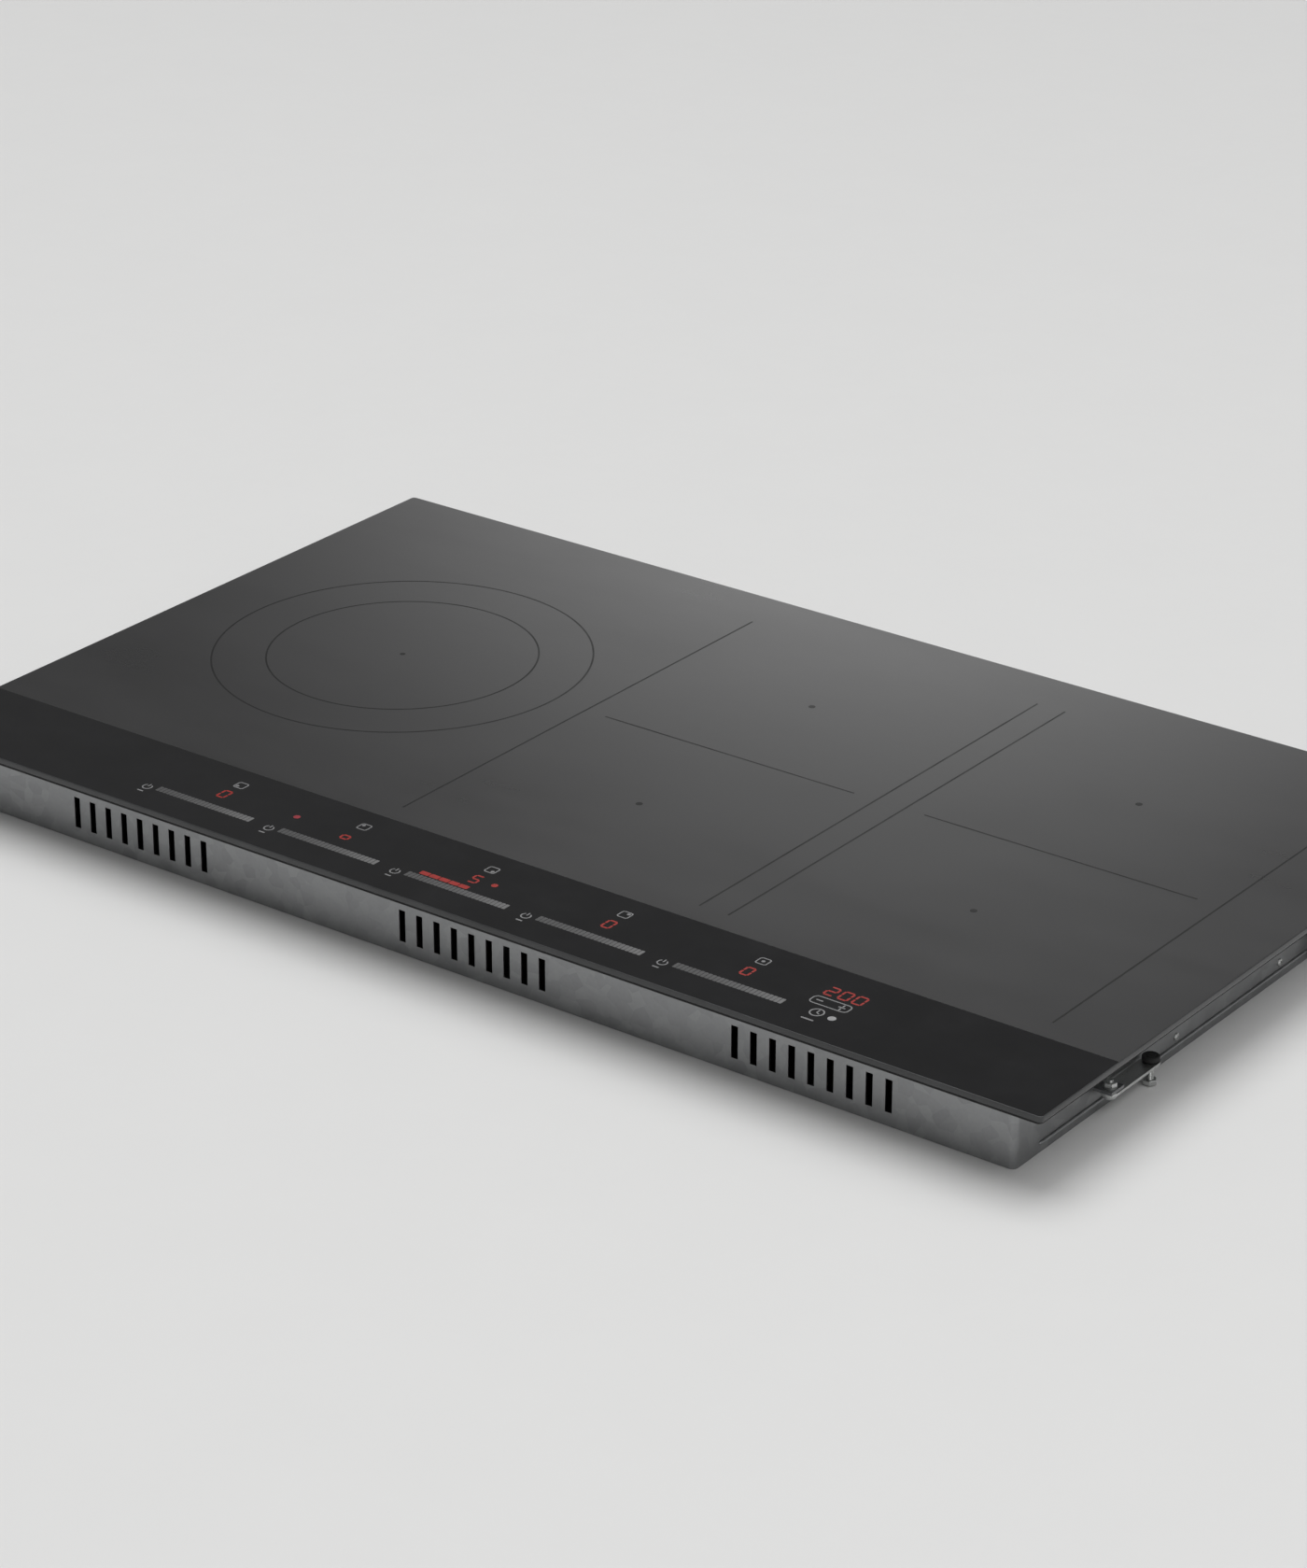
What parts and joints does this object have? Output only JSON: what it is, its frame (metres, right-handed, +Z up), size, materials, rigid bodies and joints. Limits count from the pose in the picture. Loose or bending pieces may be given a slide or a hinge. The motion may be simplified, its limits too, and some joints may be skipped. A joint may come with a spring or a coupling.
{
  "type": "induction cooktop",
  "caption": "Wide drop-in induction cooktop: black glass plate with round and paired rectangular zones and a touch strip, over a shallow vented steel tray.",
  "frame": {"origin": "centre of the footprint at the underside of the steel tray", "axes": "+X to the right along the width, +Y to the back, +Z up; the control strip is at -Y"},
  "size_m": [0.9, 0.53, 0.056],
  "materials": {
    "black_glass": "polished black glass-ceramic with printed marks",
    "aluminium": "satin sheet and extrusion",
    "seal_foam": "closed-cell foam",
    "galvanised_steel": "galvanised sheet",
    "zinc_steel": "zinc plated",
    "black_plastic": "glass-filled moulding",
    "white_plastic": "moulded",
    "ferrite_grey": "plastic spider with ferrite bars",
    "copper_litz": "varnished copper litz, with copper in place of brass",
    "insulation_felt": "heat-resistant fibre felt",
    "probe_ceramic": "white ceramic",
    "circuit_board": "green solder mask with black components",
    "red_wire": "insulated wire"
  },
  "bodies": {
    "housing": {"glass_top": "black_glass", "support_frame": "aluminium", "perimeter_seal": "seal_foam", "bottom_tray": "galvanised_steel", "terminal_box": "black_plastic", "terminal_block": "white_plastic", "cable_gland": "black_plastic", "clamp_pivot_front_left": "zinc_steel", "clamp_pivot_front_right": "zinc_steel", "clamp_pivot_rear_left": "zinc_steel", "clamp_pivot_rear_right": "zinc_steel", "coil_plate_left": "aluminium", "coil_former_left": "ferrite_grey", "coil_winding_left_outer": "copper_litz", "coil_winding_left_inner": "copper_litz", "insulation_pad_left": "insulation_felt", "coil_plate_middle": "aluminium", "insulation_pad_middle": "insulation_felt", "coil_former_middle_front": "ferrite_grey", "coil_winding_middle_front": "copper_litz", "coil_former_middle_rear": "ferrite_grey", "coil_winding_middle_rear": "copper_litz", "coil_plate_right": "aluminium", "insulation_pad_right": "insulation_felt", "coil_former_right_front": "ferrite_grey", "coil_winding_right_front": "copper_litz", "coil_former_right_rear": "ferrite_grey", "coil_winding_right_rear": "copper_litz", "power_board_left": "circuit_board", "heat_sink_left": "aluminium", "fan_housing_left": "black_plastic", "power_board_middle": "circuit_board", "heat_sink_middle": "aluminium", "fan_housing_middle": "black_plastic", "power_board_right": "circuit_board", "heat_sink_right": "aluminium", "fan_housing_right": "black_plastic", "filter_board": "circuit_board", "filter_choke": "copper_litz", "control_board": "circuit_board", "control_holder": "black_plastic", "mains_harness": "red_wire", "control_ribbon": "red_wire"},
    "cover": {"terminal_cover": "black_plastic"},
    "clamp_front_left": {"clamp_arm_front_left": "zinc_steel"},
    "jack_front_left": {"clamp_jack_front_left": "zinc_steel"},
    "clamp_front_right": {"clamp_arm_front_right": "zinc_steel"},
    "jack_front_right": {"clamp_jack_front_right": "zinc_steel"},
    "clamp_rear_left": {"clamp_arm_rear_left": "zinc_steel"},
    "jack_rear_left": {"clamp_jack_rear_left": "zinc_steel"},
    "clamp_rear_right": {"clamp_arm_rear_right": "zinc_steel"},
    "jack_rear_right": {"clamp_jack_rear_right": "zinc_steel"},
    "probe_left": {"temperature_probe_left": "probe_ceramic"},
    "probe_middle_front": {"temperature_probe_middle_front": "probe_ceramic"},
    "probe_middle_rear": {"temperature_probe_middle_rear": "probe_ceramic"},
    "probe_right_front": {"temperature_probe_right_front": "probe_ceramic"},
    "probe_right_rear": {"temperature_probe_right_rear": "probe_ceramic"},
    "fan_left": {"fan_rotor_left": "black_plastic"},
    "fan_middle": {"fan_rotor_middle": "black_plastic"},
    "fan_right": {"fan_rotor_right": "black_plastic"}
  },
  "joints": [
    {"name": "clamp_swing_front_left", "type": "hinge", "parent": "housing", "child": "clamp_front_left", "pos_m": [-0.4255, -0.15, 0.015], "axis": [0, 0, 1], "range_deg": [0, 90]},
    {"name": "clamp_jack_front_left", "type": "slide", "parent": "clamp_front_left", "child": "jack_front_left", "axis": [0, 0, 1], "range_m": [0, 0.01]},
    {"name": "clamp_swing_front_right", "type": "hinge", "parent": "housing", "child": "clamp_front_right", "pos_m": [0.4255, -0.15, 0.015], "axis": [0, 0, -1], "range_deg": [0, 90]},
    {"name": "clamp_jack_front_right", "type": "slide", "parent": "clamp_front_right", "child": "jack_front_right", "axis": [0, 0, 1], "range_m": [0, 0.01]},
    {"name": "clamp_swing_rear_left", "type": "hinge", "parent": "housing", "child": "clamp_rear_left", "pos_m": [-0.4255, 0.15, 0.015], "axis": [0, 0, -1], "range_deg": [0, 90]},
    {"name": "clamp_jack_rear_left", "type": "slide", "parent": "clamp_rear_left", "child": "jack_rear_left", "axis": [0, 0, 1], "range_m": [0, 0.01]},
    {"name": "clamp_swing_rear_right", "type": "hinge", "parent": "housing", "child": "clamp_rear_right", "pos_m": [0.4255, 0.15, 0.015], "axis": [0, 0, 1], "range_deg": [0, 90]},
    {"name": "clamp_jack_rear_right", "type": "slide", "parent": "clamp_rear_right", "child": "jack_rear_right", "axis": [0, 0, 1], "range_m": [0, 0.01]},
    {"name": "cover_hinge", "type": "hinge", "parent": "housing", "child": "cover", "pos_m": [0.352, 0.2436, 0.011], "axis": [-1, 0, 0], "range_deg": [0, 90]},
    {"name": "fan_spin_left", "type": "hinge", "parent": "housing", "child": "fan_left", "pos_m": [-0.265, 0.12, 0.015], "axis": [0, 0, 1], "continuous": true},
    {"name": "fan_spin_middle", "type": "hinge", "parent": "housing", "child": "fan_middle", "pos_m": [0.0145, 0.12, 0.015], "axis": [0, 0, 1], "continuous": true},
    {"name": "fan_spin_right", "type": "hinge", "parent": "housing", "child": "fan_right", "pos_m": [0.2735, 0.12, 0.015], "axis": [0, 0, 1], "continuous": true},
    {"name": "probe_spring_left", "type": "slide", "parent": "housing", "child": "probe_left", "axis": [0, 0, 1], "range_m": [-0.003, 0], "stiffness_N_per_m": 300, "springref_m": 0.004},
    {"name": "probe_spring_middle_front", "type": "slide", "parent": "housing", "child": "probe_middle_front", "axis": [0, 0, 1], "range_m": [-0.003, 0], "stiffness_N_per_m": 300, "springref_m": 0.004},
    {"name": "probe_spring_middle_rear", "type": "slide", "parent": "housing", "child": "probe_middle_rear", "axis": [0, 0, 1], "range_m": [-0.003, 0], "stiffness_N_per_m": 300, "springref_m": 0.004},
    {"name": "probe_spring_right_front", "type": "slide", "parent": "housing", "child": "probe_right_front", "axis": [0, 0, 1], "range_m": [-0.003, 0], "stiffness_N_per_m": 300, "springref_m": 0.004},
    {"name": "probe_spring_right_rear", "type": "slide", "parent": "housing", "child": "probe_right_rear", "axis": [0, 0, 1], "range_m": [-0.003, 0], "stiffness_N_per_m": 300, "springref_m": 0.004}
  ]
}
